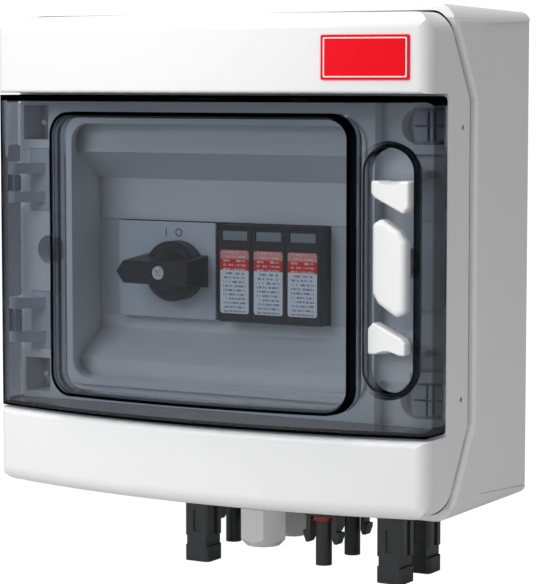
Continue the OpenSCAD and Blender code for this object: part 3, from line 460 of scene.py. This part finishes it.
def switch_marks():
    """The two generic switch symbols on the isolator plate, above the handle."""
    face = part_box("isolator_plate")[0].y
    knob_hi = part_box("isolator_knob")[1]
    pivot_x = knob_hi.x - 15.8 * MM
    bar_x = pivot_x - 7.2 * MM
    ring_x = pivot_x - 0.2 * MM
    mark_z = knob_hi.z + 3.6 * MM
    half, line, thick = 1.9 * MM, 0.45 * MM, 0.06 * MM
    bar_half = 0.25 * MM

    def flat(x):
        return face

    def circle(r):
        turn = [math.tau * i / 40 for i in range(40)]
        return [(ring_x + r * math.cos(a), mark_z + r * math.sin(a)) for a in turn]

    bar = bmesh.new()
    slab(bar, outline(bar_x - bar_half, mark_z - half, bar_x + bar_half, mark_z + half,
                      0.12 * MM, 3), flat, thick, 0.02 * MM)
    piece("mark_on", bar, PRINT_DARK, "base")
    ring = bmesh.new()
    frame_band(ring, circle(half), circle(half - line), flat, thick)
    piece("mark_off", ring, PRINT_DARK, "base")


def inspection_panes():
    """A pane in the window pocket of each arrester plug."""
    half_w, half_h, above_mid, sunk = 6.5 * MM, 2.1 * MM, 17.4 * MM, 0.6 * MM
    for i in (1, 2, 3):
        lo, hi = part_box("spd_plug_%d" % i)
        mid = (lo.x + hi.x) / 2
        z_mid = (lo.z + hi.z) / 2 + above_mid
        floor_y = lo.y + sunk
        bm = bmesh.new()
        slab(bm, outline(mid - half_w, z_mid - half_h, mid + half_w, z_mid + half_h,
                         0.5 * MM, 4), lambda x: floor_y, 0.35 * MM, 0.12 * MM)
        piece("window_pane_%d" % i, bm, PANE, "plug_%d" % i)


def badge_keyline():
    """Plain white line printed just inside the edge of the badge, following its bow."""
    front_y, bow_r, plate = -115 * MM, 408 * MM, 0.5 * MM
    inset, width, corner, longest = 1.1 * MM, 0.5 * MM, 0.5 * MM, 5 * MM
    lo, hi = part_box("badge")

    def surface(x):
        return front_y + bow_r - math.sqrt((bow_r + plate) ** 2 - x * x)

    pts = []
    for k in (inset, inset + width):
        ring = outline(lo.x + k, lo.z + k, hi.x - k, hi.z - k, corner, 3)
        dense = []
        for a, b in zip(ring, ring[1:] + ring[:1]):
            parts = 12 if abs(a[0] - b[0]) > longest else 1
            for j in range(parts):
                f = j / parts
                dense.append((a[0] + (b[0] - a[0]) * f, a[1] + (b[1] - a[1]) * f))
        pts.append(dense)
    bm = bmesh.new()
    frame_band(bm, pts[0], pts[1], surface, 0.05 * MM)
    piece("badge_line", bm, PRINT_WHITE, "cover")


switch_marks()
inspection_panes()
badge_keyline()


# ---------------------------------------------------------------- stage, lights, camera
WHITE_OUT = 1.05   # what the camera sees behind the object, just past white


def stage_floor():
    """Pale paper that lights the underside. The camera sees it white from above and not at all
    from below."""
    bm = bmesh.new()
    bmesh.ops.create_grid(bm, x_segments=4, y_segments=4, size=6)
    me = bpy.data.meshes.new("floor")
    bm.to_mesh(me)
    bm.free()
    floor = bpy.data.objects.new("floor", me)
    floor.location = (0, 0, CAD_BOX[0].z - 4 * MM)
    scene.collection.objects.link(floor)
    t = Tree("floor_pale")
    seen = t.new("ShaderNodeLightPath").outputs["Is Camera Ray"]
    paper = t.new("ShaderNodeBsdfDiffuse")
    t.put(paper.inputs["Color"], t.mix(t.noise(3, 2), rgb(208, 208, 208), rgb(203, 203, 203)))
    glow = t.new("ShaderNodeEmission")
    t.put(glow.inputs["Strength"], WHITE_OUT)
    above = t.mix_shader(seen, paper.outputs[0], glow.outputs[0])
    from_below = t.math("MULTIPLY", seen, t.new("ShaderNodeNewGeometry").outputs["Backfacing"])
    clear = t.new("ShaderNodeBsdfTransparent")
    floor.data.materials.append(t.finish(t.mix_shader(from_below, above, clear.outputs[0])))


def studio_world(level, slope, toward, mirror):
    """White surround for the camera. Other rays meet a soft room that is brightest toward one
    direction, reflections a much darker one, and rays that leave the door a lighter one."""
    through_door = 0.3
    world = bpy.data.worlds.new("studio")
    scene.world = world
    world.use_nodes = True
    nt = world.node_tree
    nt.nodes.clear()

    def node(kind, inputs=(), **props):
        n = nt.nodes.new(kind)
        for k, v in props.items():
            setattr(n, k, v)
        for socket, v in zip(n.inputs, inputs):
            if isinstance(v, bpy.types.NodeSocket):
                nt.links.new(v, socket)
            else:
                socket.default_value = v
        return n

    path = node("ShaderNodeLightPath").outputs
    way = node("ShaderNodeTexCoord").outputs["Generated"]
    lean = node("ShaderNodeVectorMath", (way, tuple(Vector(toward).normalized())),
                operation="DOT_PRODUCT").outputs["Value"]
    room = node("ShaderNodeMath", (lean, slope, level), operation="MULTIPLY_ADD").outputs[0]
    bounced = node("ShaderNodeMath", (path["Is Glossy Ray"], path["Is Transmission Ray"]),
                   operation="SUBTRACT", use_clamp=True).outputs[0]
    dim = node("ShaderNodeMath", (bounced, mirror - 1, 1.0), operation="MULTIPLY_ADD").outputs[0]
    behind = node("ShaderNodeMath", (path["Is Transmission Ray"], through_door),
                  operation="MULTIPLY")
    soft = node("ShaderNodeMath", (room, dim, behind.outputs[0]),
                operation="MULTIPLY_ADD").outputs[0]
    seen = node("ShaderNodeMix", (path["Is Camera Ray"],), data_type="FLOAT")
    nt.links.new(soft, seen.inputs[2])
    seen.inputs[3].default_value = WHITE_OUT
    back = node("ShaderNodeBackground", ((1, 1, 1, 1), seen.outputs[0]))
    out = node("ShaderNodeOutputWorld")
    nt.links.new(back.outputs[0], out.inputs["Surface"])


def area(name, place, target, size, power, in_mirrors=True):
    d = bpy.data.lights.new(name, "AREA")
    d.shape = "RECTANGLE"
    d.size, d.size_y = size
    d.energy = power
    o = bpy.data.objects.new(name, d)
    o.location = place
    o.rotation_mode = "QUATERNION"
    o.rotation_quaternion = (Vector(target) - Vector(place)).to_track_quat("-Z", "Y")
    o.visible_glossy = in_mirrors
    scene.collection.objects.link(o)


def camera():
    """The photograph's viewpoint, fitted to the rail hardware and the edges of the box."""
    d = bpy.data.cameras.new("camera")
    cam = bpy.data.objects.new("camera", d)
    scene.collection.objects.link(cam)
    scene.camera = cam
    yaw, pitch = math.radians(30.18), math.radians(5.11)
    cam.location = (0.5508, -0.9878, 0.0789)
    cam.rotation_euler = (math.pi / 2 - pitch, 0, yaw)
    d.sensor_width = 36
    d.lens = 145.54
    d.clip_start, d.clip_end = 0.05, 50


stage_floor()
studio_world(0.46, 0.3, (-0.42, -0.9, 0.05), 0.2)
area("key", (-0.25, -0.7, 0.42), (0, -0.08, 0.02), (0.4, 0.4), 3.1)
area("top", (0.05, -0.3, 1.3), (0, -0.08, 0), (0.6, 0.6), 8.6, in_mirrors=False)
camera()
scene.view_settings.view_transform = "Standard"
scene.view_settings.look = "None"
scene.cycles.max_bounces = 16
scene.cycles.transmission_bounces = 16
scene.cycles.transparent_max_bounces = 32
